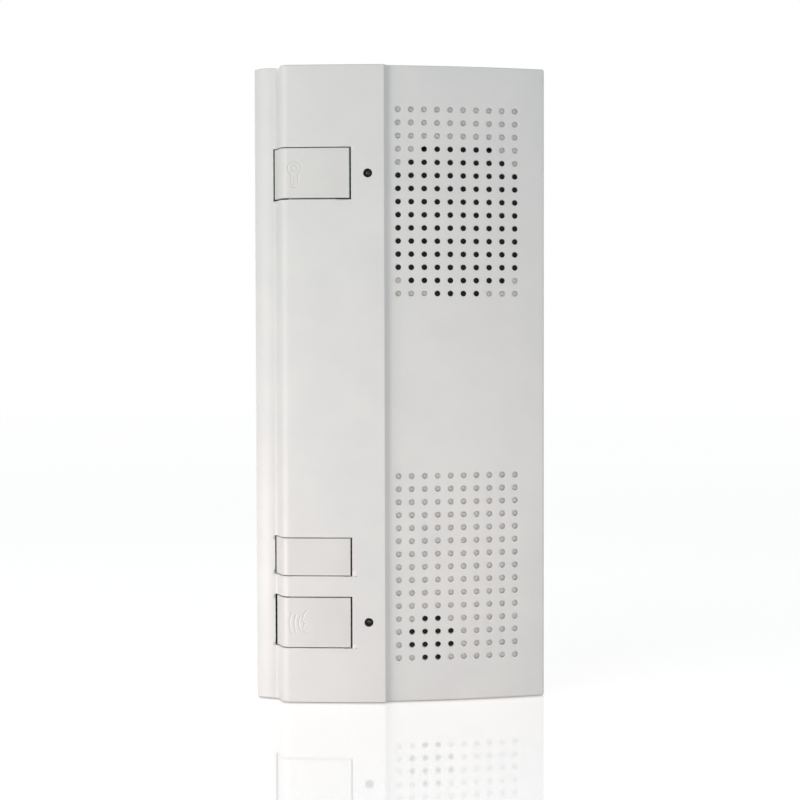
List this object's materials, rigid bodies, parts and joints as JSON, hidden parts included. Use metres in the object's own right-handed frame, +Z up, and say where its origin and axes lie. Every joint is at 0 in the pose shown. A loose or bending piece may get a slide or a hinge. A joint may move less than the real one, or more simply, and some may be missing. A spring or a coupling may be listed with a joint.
{
  "type": "indoor intercom unit",
  "caption": "Flat upright intercom unit: a pale moulded housing that hangs on a wall plate, with sprung push buttons, lamp holes, and loudspeaker and microphone grilles.",
  "frame": {"origin": "on the wall face of the plate, behind the middle of the unit's height and width", "axes": "+Z up, +X to the right as seen from the front, +Y into the wall: the buttons and grilles face -Y"},
  "size_m": [0.1006, 0.038, 0.2188],
  "materials": {
    "housing_plastic": "fine satin grain",
    "button_plastic": "fine satin grain",
    "plate_plastic": "fine satin grain",
    "black_plastic": "satin",
    "switch_plunger": "satin",
    "circuit_board": "solder resist over glass fibre",
    "zinc_steel": "zinc plated",
    "tinned_wire": "tinned",
    "lamp_lens": "clear epoxy",
    "foam_rubber": "soft, matt",
    "ferrite": "sintered",
    "copper": "enamelled wire",
    "cone_paper": "pressed paper",
    "tag_board": "phenolic board",
    "brass": "tinned and plain brass",
    "red_insulation": "soft insulation",
    "black_insulation": "soft insulation",
    "white_nylon": "moulded nylon",
    "capsule_metal": "drawn can",
    "speaker_cloth": "woven",
    "laminated_steel": "stacked sheets",
    "capacitor_sleeve": "shrunk sleeve",
    "resistor_coat": "lacquer",
    "blue_plastic": "moulded",
    "green_plastic": "moulded"
  },
  "bodies": {
    "wall_plate": {"base": "plate_plastic", "terminal_board": "circuit_board", "terminal_board_screws": "zinc_steel", "terminal_block": "green_plastic", "terminal_clamps": "brass", "terminal_screws": "zinc_steel", "link_pin_strip": "black_plastic", "link_pins": "brass"},
    "front_housing": {"amplifier_chip": "black_plastic", "board_screws": "zinc_steel", "chip_legs": "tinned_wire", "control_chip": "black_plastic", "coupling_capacitors": "capacitor_sleeve", "diodes": "black_plastic", "door_lamp": "lamp_lens", "door_switch_body": "black_plastic", "front_cover": "housing_plastic", "grille_cloth": "speaker_cloth", "lamp_leads": "tinned_wire", "lamp_spacers": "black_plastic", "line_transformer": "laminated_steel", "link_socket": "black_plastic", "main_board": "circuit_board", "microphone_boot": "foam_rubber", "microphone_capsule": "capsule_metal", "microphone_cloth": "speaker_cloth", "microphone_pins": "tinned_wire", "microphone_trimmer_body": "blue_plastic", "relay": "black_plastic", "resistors": "resistor_coat", "service_switch_body": "black_plastic", "speaker_basket": "zinc_steel", "speaker_clamps": "zinc_steel", "speaker_cone": "cone_paper", "speaker_dust_cap": "cone_paper", "speaker_gasket": "foam_rubber", "speaker_header": "white_nylon", "speaker_lead_black": "black_insulation", "speaker_lead_red": "red_insulation", "speaker_magnet": "ferrite", "speaker_plug": "white_nylon", "speaker_screws": "zinc_steel", "speaker_surround": "cone_paper", "speaker_tag_strip": "tag_board", "speaker_tags": "brass", "speaker_top_plate": "zinc_steel", "speaker_trimmer_body": "blue_plastic", "speaker_voice_coil": "copper", "speaker_yoke": "zinc_steel", "supply_capacitor": "capacitor_sleeve", "talk_lamp": "lamp_lens", "talk_switch_body": "black_plastic"},
    "door_button": {"door_button": "button_plastic"},
    "service_button": {"service_button": "button_plastic"},
    "talk_button": {"talk_button": "button_plastic"},
    "door_plunger": {"door_switch_plunger": "switch_plunger"},
    "service_plunger": {"service_switch_plunger": "switch_plunger"},
    "talk_plunger": {"talk_switch_plunger": "switch_plunger"},
    "speaker_rotor": {"speaker_trimmer_rotor": "white_nylon"},
    "microphone_rotor": {"microphone_trimmer_rotor": "white_nylon"}
  },
  "joints": [
    {"name": "housing_swing", "type": "hinge", "parent": "wall_plate", "child": "front_housing", "pos_m": [0, -0.0065, 0.10525], "axis": [-1, 0, 0], "range_deg": [0, 20]},
    {"name": "door_press", "type": "slide", "parent": "front_housing", "child": "door_button", "axis": [0, 1, 0], "range_m": [0, 0.0006], "stiffness_N_per_m": 1000},
    {"name": "door_switch_press", "type": "slide", "parent": "front_housing", "child": "door_plunger", "axis": [0, 1, 0], "range_m": [0, 0.00025]},
    {"name": "service_press", "type": "slide", "parent": "front_housing", "child": "service_button", "axis": [0, 1, 0], "range_m": [0, 0.0006], "stiffness_N_per_m": 1000},
    {"name": "service_switch_press", "type": "slide", "parent": "front_housing", "child": "service_plunger", "axis": [0, 1, 0], "range_m": [0, 0.00025]},
    {"name": "talk_press", "type": "slide", "parent": "front_housing", "child": "talk_button", "axis": [0, 1, 0], "range_m": [0, 0.0006], "stiffness_N_per_m": 1000},
    {"name": "talk_switch_press", "type": "slide", "parent": "front_housing", "child": "talk_plunger", "axis": [0, 1, 0], "range_m": [0, 0.00025]},
    {"name": "speaker_volume_turn", "type": "hinge", "parent": "front_housing", "child": "speaker_rotor", "pos_m": [0.02585, -0.0148, -0.01605], "axis": [0, 1, 0], "range_deg": [-120, 120]},
    {"name": "microphone_volume_turn", "type": "hinge", "parent": "front_housing", "child": "microphone_rotor", "pos_m": [0.02785, -0.0148, -0.08385], "axis": [0, 1, 0], "range_deg": [-120, 120]}
  ],
  "couplings": [
    {"joint": "door_switch_press", "follows": "door_press", "ratio": 0.416},
    {"joint": "service_switch_press", "follows": "service_press", "ratio": 0.416},
    {"joint": "talk_switch_press", "follows": "talk_press", "ratio": 0.416}
  ]
}
